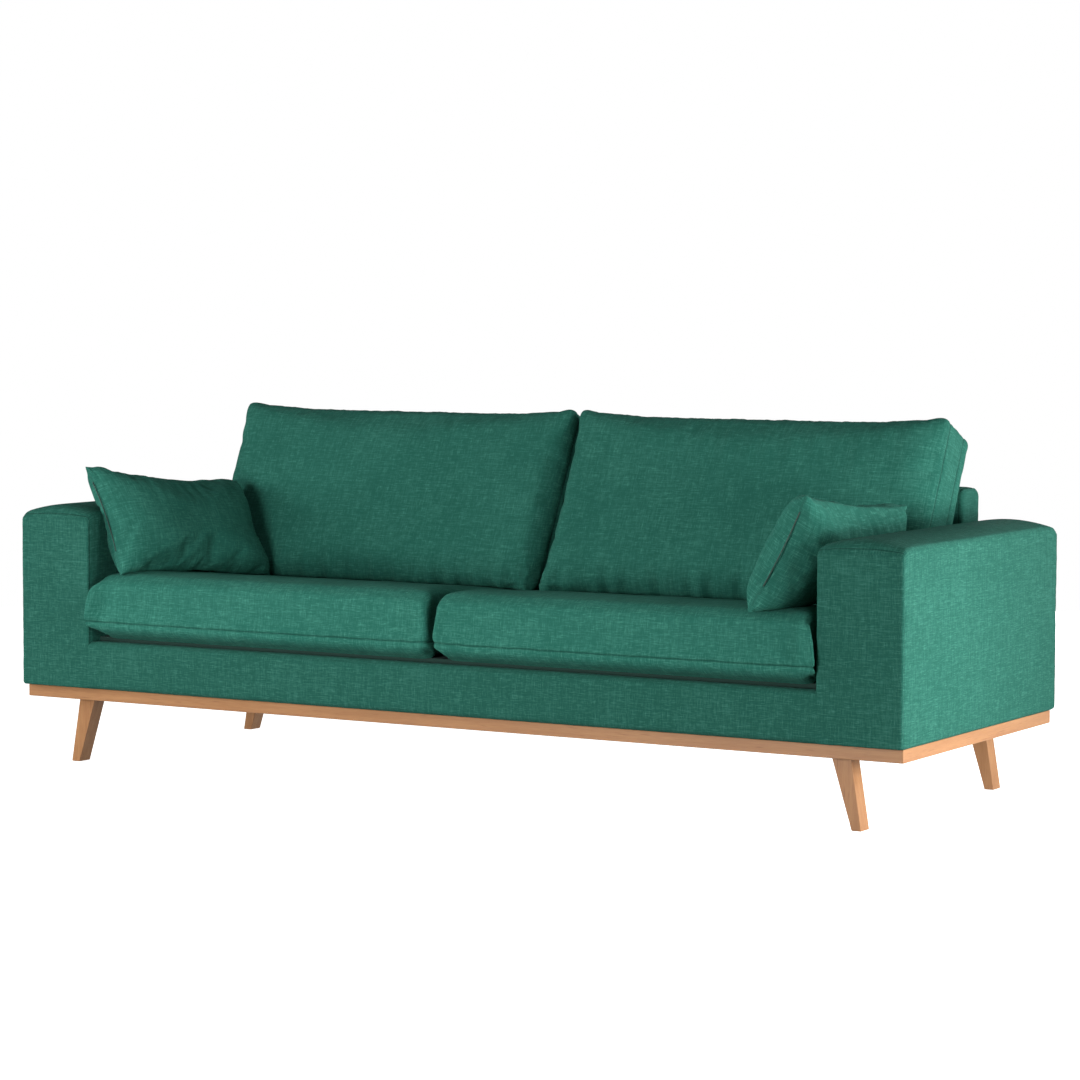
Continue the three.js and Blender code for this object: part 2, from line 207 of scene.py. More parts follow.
def wovenCloth(name, paintedLightTone, seed):
    # linen weave on the cloth map, in metres. Each thread direction is noise stretched along it, of which
    # only the highest part counts as a thick thread; the plain weave is one sine across times one sine up
    f = Finish(name)
    where = f.add("UVMap", {"uv_map": "cloth"})
    across, up, _ = f.split(where)
    long, fine = 1 / cloth["slubLength"], 1 / cloth["slubWidth"]
    weft = f.noise(across * long, up * fine, seed + 1.3, 1.5)
    warp = f.noise(across * fine, up * long, seed + 7.9, 1.5)
    broadWeft = f.noise(across * (long * 0.3), up * (fine * 0.4), seed + 3.1, 1.0)
    broadWarp = f.noise(across * (fine * 0.4), up * (long * 0.3), seed + 5.7, 1.0)
    cloud = f.noise(across * 5.0, up * 5.0, seed + 11.0, 2.0)
    turn = math.pi / cloth["thread"]
    weave = f.wave(across * turn) * f.wave(up * turn)
    thick = (f.above(weft, 0.53) + f.above(warp, 0.55)) * 1.9
    slubs = thick + broadWeft * 0.45 + broadWarp * 0.45 + cloud * 0.3
    share = slubs * 0.95 + weave * 0.06 - 0.36
    # painted light: the tone scales both colours, so each copy of the one cloth is made brighter as if
    # lit more
    ramp = f.add(
        "ValToRGB",
        {"stops": [
            (0.18, [c * paintedLightTone for c in cloth["dark"]]),
            (0.82, [c * paintedLightTone for c in cloth["light"]]),
        ]},
        {"Fac": share},
    )
    seamShadeMask = f.add("Attribute", {"attribute_name": "seamShadeMask"}, None, output=2)
    line = f.above(seamShadeMask, 0.7) * 3.3  # 0 up to 1 within about a millimetre of a seam, where the painted seam shade darkens the colour
    # painted shade: the colour is multiplied darker along each seam, standing in for the groove's shadow
    colour = f.add(
        "Mix", {"data_type": "RGBA", "blend_type": "MULTIPLY"},
        {0: line, 6: ramp, 7: cloth["seamPaintedShade"]}, output=2,
    )
    height = slubs * 0.6 + weave * 0.35
    normal = f.add("Bump", None, {"Strength": 0.75, "Distance": cloth["bump"], "Height": height})
    return f.finish(
        colour=colour, roughness=cloth["roughness"], normal=normal, specular=cloth["specular"],
        sheen=cloth["sheen"], sheenRoughness=0.45, sheenTint=cloth["sheenTint"],
    )


wood = {
    "pale": (0.37, 0.182, 0.072),
    "dark": (0.26, 0.112, 0.039),
    "ringWidth": 0.011,
    "fibresPerMetre": 1100.0,
    "poresPerMetre": 520.0,
    "stretch": 0.035,  # across the grain over along it
    "bump": 0.00025,
}


def grainedWood(name, along, dark, pale, roughness=0.5, coat=0.08):
    # straight grain along one axis: wide bands, fine fibres and short dark pores
    f = Finish(name)
    where = f.add("TexCoord", None, None, output=3)
    axes = f.split(where)
    stretch = [wood["stretch"] if axis == along else 1.0 for axis in range(3)]

    def fibres(perMetre, seed, detail):
        x, y, z = [axes[axis] * (perMetre * stretch[axis]) for axis in range(3)]
        return f.noise(x + seed, y, z, detail)

    bands = fibres(1 / wood["ringWidth"], 4.0, 2.0)
    fine = fibres(wood["fibresPerMetre"], 9.0, 2.0)
    pores = fibres(wood["poresPerMetre"], 15.0, 1.0)
    share = bands * 0.75 + fine * 0.55 - 0.15
    ramp = f.add("ValToRGB", {"stops": [(0.25, dark), (0.78, pale)]}, {"Fac": share})
    poreStops = [(0.66, (1, 1, 1)), (0.76, (0.68, 0.6, 0.55))]
    poreMask = f.add("ValToRGB", {"stops": poreStops}, {"Fac": pores})
    colour = f.add(
        "Mix", {"data_type": "RGBA", "blend_type": "MULTIPLY"},
        {0: 1.0, 6: ramp, 7: poreMask}, output=2,
    )
    rough = fine * 0.16 + (roughness - 0.08)
    height = fine - pores * 0.6
    normal = f.add("Bump", None, {"Strength": 0.5, "Distance": wood["bump"], "Height": height})
    return f.finish(
        colour=colour, roughness=rough, normal=normal, specular=0.28,
        coat=coat, coatRoughness=0.35,
    )


def plainFinish(name, colour, roughness, metallic, mottle, scale):
    # one colour, mottled by a fine noise that also roughens the surface
    f = Finish(name)
    where = f.add("TexCoord", None, None, output=3)
    axes = [axis * scale for axis in f.split(where)]
    grain = f.noise(*axes, 3.0)
    low = [c * (1 - mottle) for c in colour]
    high = [min(1, c * (1 + mottle)) for c in colour]
    ramp = f.add("ValToRGB", {"stops": [(0.3, low), (0.7, high)]}, {"Fac": grain})
    rough = grain * 0.2 + (roughness - 0.1)
    normal = f.add("Bump", None, {"Strength": 0.5, "Distance": 0.0002, "Height": grain})
    return f.finish(colour=ramp, roughness=rough, metallic=metallic, normal=normal)


def gridLines(low, high, step, edge=0.0):
    # evenly spaced lines, with closer ones inside each end, where an edge is rounded
    middle = np.linspace(low + edge, high - edge, max(2, round((high - low - 2 * edge) / step) + 1))
    if edge == 0:
        return middle
    near = np.linspace(0, edge, 5)[:-1]
    return np.concatenate([low + near, middle, (high - near)[::-1]])


def boxGrid(lines):
    # the skin of a box ruled by lines along X, Y and Z: points, quads facing out, a flat map in metres
    counts = [len(line) for line in lines]
    corners, maps = [], []
    for axis, (a, b) in enumerate([(1, 2), (2, 0), (0, 1)]):
        i, j = np.meshgrid(np.arange(counts[a] - 1), np.arange(counts[b] - 1), indexing="ij")
        flatAxes = [(1, 2), (0, 2), (0, 1)][axis]
        for end in (0, 1):
            quad = np.zeros((i.size, 4, 3), int)
            ring = [(0, 0), (1, 0), (1, 1), (0, 1)]
            for corner, (di, dj) in enumerate(ring if end else ring[::-1]):
                quad[:, corner, a] = (i + di).ravel()
                quad[:, corner, b] = (j + dj).ravel()
                quad[:, corner, axis] = end * (counts[axis] - 1)
            corners.append(quad)
            maps.append(np.stack([lines[k][quad[..., k]] for k in flatAxes], -1))
    quads = np.concatenate(corners)
    key = (quads[..., 0] * counts[1] + quads[..., 1]) * counts[2] + quads[..., 2]
    used, index = np.unique(key, return_inverse=True)
    row, column = used // counts[2], used % counts[2]
    cells = np.stack([row // counts[1], row % counts[1], column], 1)
    points = np.stack([lines[k][cells[:, k]] for k in range(3)], 1)
    return points, index.reshape(key.shape), np.concatenate(maps)


def makePiece(name, points, quads, clothMap=None, material=None):
    mesh = bpy.data.meshes.new(name)
    mesh.from_pydata(points, [], quads)
    mesh.polygons.foreach_set("use_smooth", np.ones(len(quads), bool))
    if clothMap is not None:
        layer = mesh.uv_layers.new(name="cloth")
        layer.data.foreach_set("uv", clothMap.astype(np.float32).ravel())
    if material is not None:
        mesh.materials.append(material)
    mesh.update()
    piece = bpy.data.objects.new(name, mesh)
    scene.collection.objects.link(piece)
    return piece


def readPoints(piece):
    # where the points of a piece are, and which way each faces
    where, facing = (np.zeros(len(piece.data.vertices) * 3) for _ in range(2))
    piece.data.vertices.foreach_get("co", where)
    piece.data.vertices.foreach_get("normal", facing)
    return where.reshape(-1, 3), facing.reshape(-1, 3)


def movePoints(piece, points):
    piece.data.vertices.foreach_set("co", points.ravel())
    piece.data.update()


def keepValue(piece, name, values):
    layer = piece.data.attributes.new(name, "FLOAT", "POINT")
    layer.data.foreach_set("value", values.astype(np.float32))


def readValue(piece, name):
    values = np.zeros(len(piece.data.vertices), np.float32)
    piece.data.attributes[name].data.foreach_get("value", values)
    return values.astype(float)


def refine(piece, levels=1):
    # a smooth subdivision, applied, so that what follows works on the finer mesh
    modifier = piece.modifiers.new("smooth", "SUBSURF")
    modifier.levels = modifier.render_levels = levels
    dense = bpy.data.meshes.new_from_object(piece.evaluated_get(bpy.context.evaluated_depsgraph_get()))
    piece.modifiers.clear()
    coarse, piece.data = piece.data, dense
    bpy.data.meshes.remove(coarse)
    dense.name = piece.name


def ripple(points, wavelength, seed, count=7):
    # a sum of slanted sine waves of about that wavelength, about -1 to 1, the same on every run
    chance = np.random.default_rng(seed)
    total = np.zeros(len(points))
    for _ in range(count):
        direction = chance.normal(size=points.shape[1])
        direction *= 2 * math.pi / (wavelength * chance.uniform(0.7, 1.5) * np.linalg.norm(direction))
        total += np.sin(points @ direction + chance.uniform(0, 2 * math.pi))
    return total / math.sqrt(2 * count)


def nearness(distance, width):
    # 1 on a line, falling off as a bell curve of that width
    return np.exp(-((distance / width) ** 2))


def smoothStep(value, low, high):
    t = np.clip((value - low) / (high - low), 0, 1)
    return t * t * (3 - 2 * t)


def pressedCorner(a, b):
    # a and b grow from 0 where a rounding starts: the square corner is pressed into a quarter disc
    a, b = np.clip(a, 0, None), np.clip(b, 0, None)
    pull = np.maximum(a, b) / np.maximum(np.hypot(a, b), 1e-12)
    return a * pull, b * pull


def roundedBox(points, low, high, radius):
    # every point moves from the sharp box to one whose edges and corners have the radius (one per axis)
    centre, half, radius = (low + high) / 2, (high - low) / 2, np.broadcast_to(radius, 3)
    local = points - centre
    over = np.clip(np.abs(local) - (half - radius), 0, None) / radius
    pull = over.max(1) / np.maximum(np.linalg.norm(over, axis=1), 1e-12)
    kept = np.minimum(np.abs(local), half - radius)
    return centre + np.sign(local) * (kept + over * pull[:, None] * radius)


def pushOut(points, low, high, radius, gap):
    # points inside a rounded box move along its distance's slope to just outside it
    centre, half = (low + high) / 2, (high - low) / 2 - radius
    local = points - centre
    q = np.abs(local) - half
    outer = np.clip(q, 0, None)
    reach = np.linalg.norm(outer, axis=1)
    distance = reach + np.minimum(q.max(1), 0) - radius
    deepest = np.eye(3)[q.argmax(1)]
    away = outer / np.maximum(reach, 1e-9)[:, None]
    slope = np.where(reach[:, None] > 1e-9, away, deepest) * np.sign(local)
    return points + slope * np.clip(gap - distance, 0, None)[:, None]


def bulge(q, amounts):
    # q runs from -1 to 1 across the box. Each face swells along its own axis by 1 - square of the place
    # in both other directions, times the sixth power of the place along it
    moved = np.zeros_like(q)
    for axis in range(3):
        rise = np.prod([1 - np.clip(np.abs(q[:, k]), 0, 1) ** 2 for k in range(3) if k != axis], axis=0)
        amount = np.where(q[:, axis] > 0, amounts[axis][1], amounts[axis][0])
        moved[:, axis] = np.sign(q[:, axis]) * np.abs(q[:, axis]) ** 6 * rise * amount
    return moved


padding = {
    "crownReach": 0.014, "crownFall": 0.55,
    "seamLine": 0.003,  # the closest line of the grid beside a seam
    "uneven": 0.0005, "puckers": 0.0004,
    "pastNode": 0.009,  # how far the border and the back panel run past their nodes at both ends
}


def upholsteredBlock(name, low, high, along, spec, material):
    # a long block: its four long edges have the top or foot radius, its two ends the small end radius,
    # its faces are slightly full. The top rises by the crown times 1 - crownFall * (place across) ** 2,
    # and that fades to nothing at both ends by 1 - exp(-distance / crownReach)
    across = 1 - along
    low, high = np.array(low, float), np.array(high, float)
    end = spec["endRadius"]
    lines = [None, None, None]
    lines[along] = gridLines(low[along], high[along], spec["step"], end)
    besideSeam = end + padding["seamLine"]
    lines[along] = np.sort(np.append(lines[along], [low[along] + besideSeam, high[along] - besideSeam]))
    lines[across] = gridLines(low[across], high[across], spec["step"], spec["topRadius"])
    lines[2] = gridLines(low[2], high[2], spec["step"], spec["topRadius"])
    points, quads, clothMap = boxGrid(lines)
    centre, half = (low + high) / 2, (high - low) / 2
    local = points - centre
    size, sign = np.abs(local), np.sign(local)
    inset = np.minimum(half[across] - size[:, across], half[2] - size[:, 2])
    # the long edges
    radius = np.where(local[:, 2] > 0, spec["topRadius"], spec["footRadius"])
    a, b = size[:, across] - half[across] + radius, size[:, 2] - half[2] + radius
    corner = (a > 0) & (b > 0)
    a, b = pressedCorner(a, b)
    size[:, across] = np.where(corner, half[across] - radius + a, size[:, across])
    size[:, 2] = np.where(corner, half[2] - radius + b, size[:, 2])
    # the end edges
    fromEnd = half[along] - size[:, along]
    a, b = end - inset, end - fromEnd
    corner = (a > 0) & (b > 0)
    a, b = pressedCorner(a, b)
    newInset = np.where(corner, end - a, inset)
    size[:, along] = np.where(corner, half[along] - end + b, size[:, along])
    for axis in (across, 2):
        size[:, axis] *= (half[axis] - newInset) / (half[axis] - inset + 1e-9)
    q = local / half
    moved = centre + sign * size + bulge(q, spec["puff"])
    swell = 1 - np.exp(-fromEnd / padding["crownReach"])
    arch = 1 - padding["crownFall"] * np.abs(q[:, across]) ** 2
    moved[:, 2] += spec["crown"] * arch * np.clip((q[:, 2] + 1) / 2, 0, 1) ** 4 * swell
    piece = makePiece(name, moved, quads, clothMap, material)
    moved, facing = readPoints(piece)
    seam = np.abs(fromEnd - end) + inset
    uneven = ripple(moved, 0.14, spec["seed"]) * padding["uneven"] * (1 - np.abs(q[:, 2]))
    puckers = ripple(moved, 0.022, spec["seed"] + 1) * padding["puckers"] * nearness(seam, 0.02)
    # the mask where the cloth gets painted seam shade
    keepValue(piece, "seamShadeMask", nearness(seam, 0.0025) * (spec["seam"] > 0))
    total = uneven + puckers - spec["seam"] * nearness(seam, 0.0028)
    movePoints(piece, moved + facing * total[:, None])
    return piece


armSpec = {
    "step": 0.0095, "endRadius": 0.006, "topRadius": 0.009, "footRadius": 0.008,
    "top": 0.571, "crown": 0.029, "seam": 0.0016,  # its flat top's height, and the crown over that
    "puff": [(0.003, 0.003), (0.002, 0.003), (0.0, 0.0)],  # how far both faces across each axis swell
    "seed": 3,
}
borderSpec = {
    "step": 0.011, "endRadius": 0.002, "topRadius": 0.016, "footRadius": 0.012,
    "crown": 0.0, "seam": 0.0,
    "puff": [(0.0, 0.0), (0.003, 0.0), (0.0, 0.001)],
    "seed": 5,
}
backSpec = {
    "step": 0.014, "endRadius": 0.010, "topRadius": 0.020, "footRadius": 0.012,
    "crown": 0.003, "seam": 0.0015,
    "puff": [(0.0, 0.0), (0.0, 0.004), (0.0, 0.0)],
    "seed": 8,
}


blowing = {"quality": 6, "mass": 0.3, "shear": 5}


def inflate(points, quads, spec, held):
    # Blender's cloth blows the closed skin up from inside; held points stay, and travel is softly capped
    body = makePiece("inflating", points, quads)
    modifier = body.modifiers.new("cloth", "CLOTH")
    settings = modifier.settings
    settings.quality = blowing["quality"]
    settings.mass = blowing["mass"]
    settings.tension_stiffness = settings.compression_stiffness = spec["stretch"]
    settings.shear_stiffness = blowing["shear"]
    settings.bending_stiffness = spec["bend"]
    settings.shrink_min = -spec["slack"]
    settings.use_pressure = True
    settings.uniform_pressure_force = spec["pressure"]
    settings.effector_weights.gravity = 0
    group = body.vertex_groups.new(name="held")
    group.add(np.nonzero(held)[0].tolist(), 1.0, "REPLACE")
    settings.vertex_group_mass = "held"
    modifier.collision_settings.use_collision = False
    modifier.point_cache.frame_start = 1
    modifier.point_cache.frame_end = spec["frames"]
    for number in range(1, spec["frames"] + 1):
        scene.frame_set(number)
    after, _ = readPoints(body.evaluated_get(bpy.context.evaluated_depsgraph_get()))
    bpy.data.objects.remove(body)
    scene.frame_set(1)
    travel = after - points
    far = np.maximum(np.linalg.norm(travel, axis=1, keepdims=True), 1e-9)
    return points + travel * spec["cap"] * np.tanh(far / spec["cap"]) / far


seat = {
    "step": 0.0125, "round": (0.018, 0.030, 0.026),
    "pressure": 3.5, "frames": 18, "cap": 0.014, "stretch": 15, "bend": 0.5, "slack": 0.035,
    "crest": -0.300, "crestSoft": 0.03, "fall": 0.093,  # the top's highest line, and its slope behind it
    "frontDrop": 0.006, "endDrop": 0.006,
    "topKeeps": 0.15,  # the share of its swelling that the sat-on top keeps
    "frontPush": 0.010, "frontFrom": (0.36, 0.40),  # how far the front stands ahead, and where it starts
    "endPush": 0.020, "endFrom": (0.37, 0.39), "endZone": 0.94,  # the same for its outer end
    "nose": 0.018,  # the furthest that any of it stands ahead of the frame
    "wrap": 0.014, "armFront": (0.411, 0.418),  # how far its outer end reaches across the arm's front
    "lowCorner": 0.036,  # the radius of the front's lower corners
    "lipDrop": 0.009, "lipFrom": (0.350, 0.385),  # in front of the deck the band hangs to the border
    "seamHeight": 0.036,  # above the underside, where the front panel meets the lower band
    "seamDepth": 0.0046, "bandSet": 0.023, "soft": 0.0012, "seed": 21,
}
seamPuckers = {"width": 0.016, "height": 0.0007, "reach": 0.014, "onSeam": 0.001}
seatTops = {}


def puckersAlong(points, seam, seed):
    wrinkles = ripple(points, seamPuckers["width"], seed) * seamPuckers["height"]
    return wrinkles * nearness(seam, seamPuckers["reach"])


def seatCushion(side, material):
    # a wedge. Behind its crest the top falls by its slope times a softened distance, log(1 + exp(d)),
    # before it by the square of the way to the front, and to its ends by the eighth power of the place
    low, high = [np.array(corner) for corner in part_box(f"seat_cushion_{side}")]
    lines = [gridLines(low[axis], high[axis], seat["step"]) for axis in range(3)]
    seamZ = low[2] + seat["seamHeight"]
    lines[2][np.abs(lines[2] - seamZ).argmin()] = seamZ
    sharp, quads, clothMap = boxGrid(lines)
    points = roundedBox(sharp, low, high, seat["round"])
    behind = sharp[:, 1] - seat["crest"]
    slope = seat["fall"] * seat["crestSoft"] * np.logaddexp(0, behind / seat["crestSoft"])
    ahead = np.clip(-behind / (seat["crest"] - low[1]), 0, 1)
    q = (sharp - (low + high) / 2) / ((high - low) / 2)
    drop = slope + seat["frontDrop"] * ahead ** 2 + seat["endDrop"] * np.abs(q[:, 0]) ** 8
    share = np.clip((points[:, 2] - seamZ) / (high[2] - seamZ), 0, 1)
    points[:, 2] -= share * drop
    middle, half, corner = (low[0] + high[0]) / 2, (high[0] - low[0]) / 2, seat["lowCorner"]
    wide = np.abs(points[:, 0] - middle)
    a, b = pressedCorner(wide - half + corner, low[2] + corner - points[:, 2])
    pressed = (a > 0) & (b > 0)
    points[:, 0] = np.where(pressed, middle + np.sign(q[:, 0]) * (half - corner + a), points[:, 0])
    points[:, 2] = np.where(pressed, low[2] + corner - b, points[:, 2])
    seam = np.abs(sharp[:, 2] - seamZ)
    onSeam = seam < seamPuckers["onSeam"]
    swollen = inflate(points, quads, seat, onSeam | (sharp[:, 2] < low[2] + 0.001))
    swollen[:, 2] -= (swollen[:, 2] - points[:, 2]) * (1 - seat["topKeeps"]) * share
    points = swollen
    outward = -1 if side == "left" else 1
    fullness = np.clip(1 - q[:, 2] ** 4, 0, 1)
    points[:, 1] -= seat["frontPush"] * smoothStep(-points[:, 1], *seat["frontFrom"]) * fullness
    atEnd = smoothStep(outward * q[:, 0], seat["endZone"], 1.0)
    points[:, 1] -= seat["endPush"] * atEnd * smoothStep(-points[:, 1], *seat["endFrom"]) * fullness
    points[:, 0] = np.clip(points[:, 0], low[0], high[0])
    beforeArm = smoothStep(-points[:, 1], *seat["armFront"]) * (outward * q[:, 0] > seat["endZone"])
    points[:, 0] += outward * seat["wrap"] * beforeArm
    points[:, 1] = np.clip(points[:, 1], low[1] - seat["nose"], high[1])
    overLip = smoothStep(-points[:, 1], *seat["lipFrom"])
    under = 1 - smoothStep(points[:, 2], low[2], seamZ)
    points[:, 2] = np.maximum(points[:, 2], low[2]) - seat["lipDrop"] * overLip * under
    belowSeam = np.clip((seamZ - sharp[:, 2]) / (seamZ - low[2]), 0, 1)
    points[:, 1] += seat["bandSet"] * overLip * belowSeam ** 2
    top = sharp[:, 2] == high[2]
    order = np.lexsort((sharp[top, 1], sharp[top, 0]))
    heights = points[top, 2][order].reshape(len(lines[0]), len(lines[1]))
    seatTops[side] = (lines[0], lines[1], heights)
    piece = makePiece(f"seatCushion_{side}", points, quads, clothMap, material)
    keepValue(piece, "seam", seam)
    # the mask where the cloth gets painted seam shade
    keepValue(piece, "seamShadeMask", onSeam)
    refine(piece)
    points, facing = readPoints(piece)
    seam = readValue(piece, "seam")
    seed = seat["seed"] + len(side)
    above = smoothStep(points[:, 2], seamZ, high[2])
    soft = ripple(points * (1, 0.4, 1), 0.12, seed) * seat["soft"] * above
    groove = seat["seamDepth"] * nearness(seam, 0.0055)
    total = soft + puckersAlong(points[:, :2], seam, seed + 2) - groove
    movePoints(piece, points + facing * total[:, None])
    return piece


def seatHeight(points):
    # the height of the finished seat under each point, read between the lines of its grid
    total = np.zeros(len(points))
    for side, (xs, ys, heights) in seatTops.items():
        i = np.clip(np.searchsorted(xs, points[:, 0]) - 1, 0, len(xs) - 2)
        j = np.clip(np.searchsorted(ys, points[:, 1]) - 1, 0, len(ys) - 2)
        u = np.clip((points[:, 0] - xs[i]) / (xs[i + 1] - xs[i]), 0, 1)
        v = np.clip((points[:, 1] - ys[j]) / (ys[j + 1] - ys[j]), 0, 1)
        here = (1 - u) * ((1 - v) * heights[i, j] + v * heights[i, j + 1])
        here += u * ((1 - v) * heights[i + 1, j] + v * heights[i + 1, j + 1])
        mine = points[:, 0] > 0 if side == "right" else points[:, 0] <= 0
        total = np.where(mine, here, total)
    return total


def restOnSeat(points, gap=0.0012):
    points[:, 2] = np.maximum(points[:, 2], seatHeight(points) + gap)
    return points


backrest = {
    "step": 0.0125, "round": (0.022, 0.020, 0.026),
    "pressure": 4.0, "frames": 18, "cap": 0.018, "stretch": 15, "bend": 0.5, "slack": 0.018,
    "lean": 26.0, "thickness": 0.152,
    "topOver": 0.0085, "rearOver": 0.0157,  # from the box to the sharp corner that the rounding cuts off
    "reach": 0.013, "reachFrom": (0.30, 0.45),  # how far the outer end stands proud above the arms
    "push": 1.3, "pushFrom": 0.85,  # it moves out there by this many times the reach, then is cut at it
    "innerReach": 0.0015,
    "seams": (0.036, 0.116), "seamDepth": 0.0036,
    "sag": 0.008,  # how far the middle of the top edge hangs below its corners
    "foldsLeft": 0.0006, "foldsRight": 0.0013, "foldWidth": 0.075, "foldFrom": (0.45, 0.9),
    "tucks": 0.0042, "tuckWidth": 0.045, "tuckHeight": 0.075,
    "pinch": 0.003, "pinchAt": (0.02, 0.03), "pinchWidth": 0.06, "pinchRays": 7,
    "soft": 0.0022, "softWidth": 0.17, "seed": 51,
}


def backCushion(side, material):
    # laid out upright as width, thickness and height, blown up, then leaned back onto the panel
    low, high = [np.array(corner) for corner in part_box(f"back_cushion_{side}")]
    lean, thick = math.radians(backrest["lean"]), backrest["thickness"]
    topZ = high[2] + backrest["topOver"]
    topY = high[1] + backrest["rearOver"] - thick * math.cos(lean)
    height = (topZ - low[2]) / math.cos(lean)
    lines = [
        gridLines(low[0], high[0], backrest["step"]),
        gridLines(0, thick, backrest["step"]),
        gridLines(0, height, backrest["step"]),
    ]
    for seamAt in backrest["seams"]:
        lines[1][np.abs(lines[1] - seamAt).argmin()] = seamAt
    sharp, quads, clothMap = boxGrid(lines)
    boxLow, boxHigh = np.array([low[0], 0, 0]), np.array([high[0], thick, height])
    flat = roundedBox(sharp, boxLow, boxHigh, backrest["round"])
    q = (sharp - (boxLow + boxHigh) / 2) / ((boxHigh - boxLow) / 2)
    seam = np.min([np.abs(sharp[:, 1] - seamAt) for seamAt in backrest["seams"]], axis=0)
    onSeam = seam < seamPuckers["onSeam"]
    lowRear = (q[:, 1] > 0.99) & (q[:, 2] < 0.2)  # it lies on the back panel there
    flat = inflate(flat, quads, backrest, onSeam | lowRear)
    up = np.clip(flat[:, 2] / height, 0, 1)
    free = backrest["reach"] * smoothStep(up, *backrest["reachFrom"])
    outward = -1 if side == "left" else 1
    nearEnd = smoothStep(outward * q[:, 0], backrest["pushFrom"], 1.0)
    flat[:, 0] += outward * backrest["push"] * free * nearEnd
    inner = np.full(len(flat), backrest["innerReach"])
    reachLow, reachHigh = (free, inner) if side == "left" else (inner, free)
    flat[:, 0] = np.clip(flat[:, 0], low[0] - reachLow, high[0] + reachHigh)
    flat[:, 2] -= backrest["sag"] * (1 - np.abs(q[:, 0]) ** 5) * up ** 3
    # the lower end is cut level, so its height in the cushion rises with the depth
    floor = flat[:, 1] * math.tan(lean)
    rise = floor + flat[:, 2] * (height - floor) / height
    points = np.stack([
        flat[:, 0],
        topY + flat[:, 1] * math.cos(lean) - (height - rise) * math.sin(lean),
        topZ - flat[:, 1] * math.sin(lean) - (height - rise) * math.cos(lean),
    ], 1)
    piece = makePiece(f"backCushion_{side}", points, quads, clothMap, material)
    # seamShadeMask marks where the cloth gets painted seam shade
    for name, values in (("seam", seam), ("above", sharp[:, 2]), ("seamShadeMask", onSeam)):
        keepValue(piece, name, values)
    refine(piece)
    points, facing = readPoints(piece)
    seam, above = (readValue(piece, name) for name in ("seam", "above"))
    front = smoothStep(-facing[:, 1], 0.2, 0.7)
    x = points[:, :1]
    seed = backrest["seed"] + len(side)
    foldDepth = backrest["foldsRight" if side == "right" else "foldsLeft"]
    inFolds = smoothStep(above, *[height * share for share in backrest["foldFrom"]])
    folds = ripple(x, backrest["foldWidth"], seed) * foldDepth * inFolds
    tucks = ripple(x, backrest["tuckWidth"], seed + 6) * backrest["tucks"]
    tucks *= nearness(above, backrest["tuckHeight"])
    # the lower corners are pinched: a cosine of the angle around a point near each corner
    aside = np.minimum(points[:, 0] - low[0], high[0] - points[:, 0]) - backrest["pinchAt"][0]
    over = above - backrest["pinchAt"][1]
    pinched = np.cos(np.arctan2(over, aside) * backrest["pinchRays"]) * backrest["pinch"]
    pinched *= nearness(np.hypot(aside, over), backrest["pinchWidth"])
    soft = ripple(points, backrest["softWidth"], seed + 10) * backrest["soft"]
    total = front * (folds + tucks + pinched + soft) + puckersAlong(points, seam, seed + 16)
    total -= backrest["seamDepth"] * nearness(seam, 0.005)
    movePoints(piece, restOnSeat(points + facing * total[:, None]))
    return piece


pillow = {
    "step": 0.0075, "pressure": 3.0, "frames": 16, "cap": 0.014,
    "stretch": 12, "bend": 0.2, "slack": 0.03,
    "face": (0.48, 0.27),  # length and height of its cloth
    "span": (0.44, 0.27),  # length and height between the corners
    "plump": 0.060, "rim": 0.0015, "pullIn": 0.014,
    "gathers": 0.0018, "gatherWidth": 0.040,
    "crumple": 0.0012, "crumpleWidth": 0.05,
    "soft": 0.0022, "softWidth": 0.13, "seed": 71,
    "zip": (0.22, 0.86), "zipFade": 0.03,  # the part of the near seam that it takes, and its ends
    "zipRadius": 0.0012, "zipPitch": 0.0024, "zipRipple": 0.22, "zipSteps": 320,
    "slitDepth": 0.0025, "slitWidth": 0.004,
    "armDip": 0.006, "armRadius": 0.022, "armGap": 0.002,  # the arm's top, as it leans on it
    # where its corners are: near and far end of the upper edge, near and far end of the lower edge
    "left": [
        (-0.952, -0.385, 0.690), (-0.872, 0.105, 0.640),
        (-0.850, -0.388, 0.443), (-0.722, 0.030, 0.415),
    ],
    "right": [
        (0.897, -0.400, 0.684), (0.905, 0.075, 0.640),
        (0.770, -0.408, 0.440), (0.785, 0.040, 0.415),
    ],
}


def zipShare(up):
    low, high = pillow["zip"]
    fade = pillow["zipFade"]
    return smoothStep(up, low - fade, low) * (1 - smoothStep(up, high, high + fade))


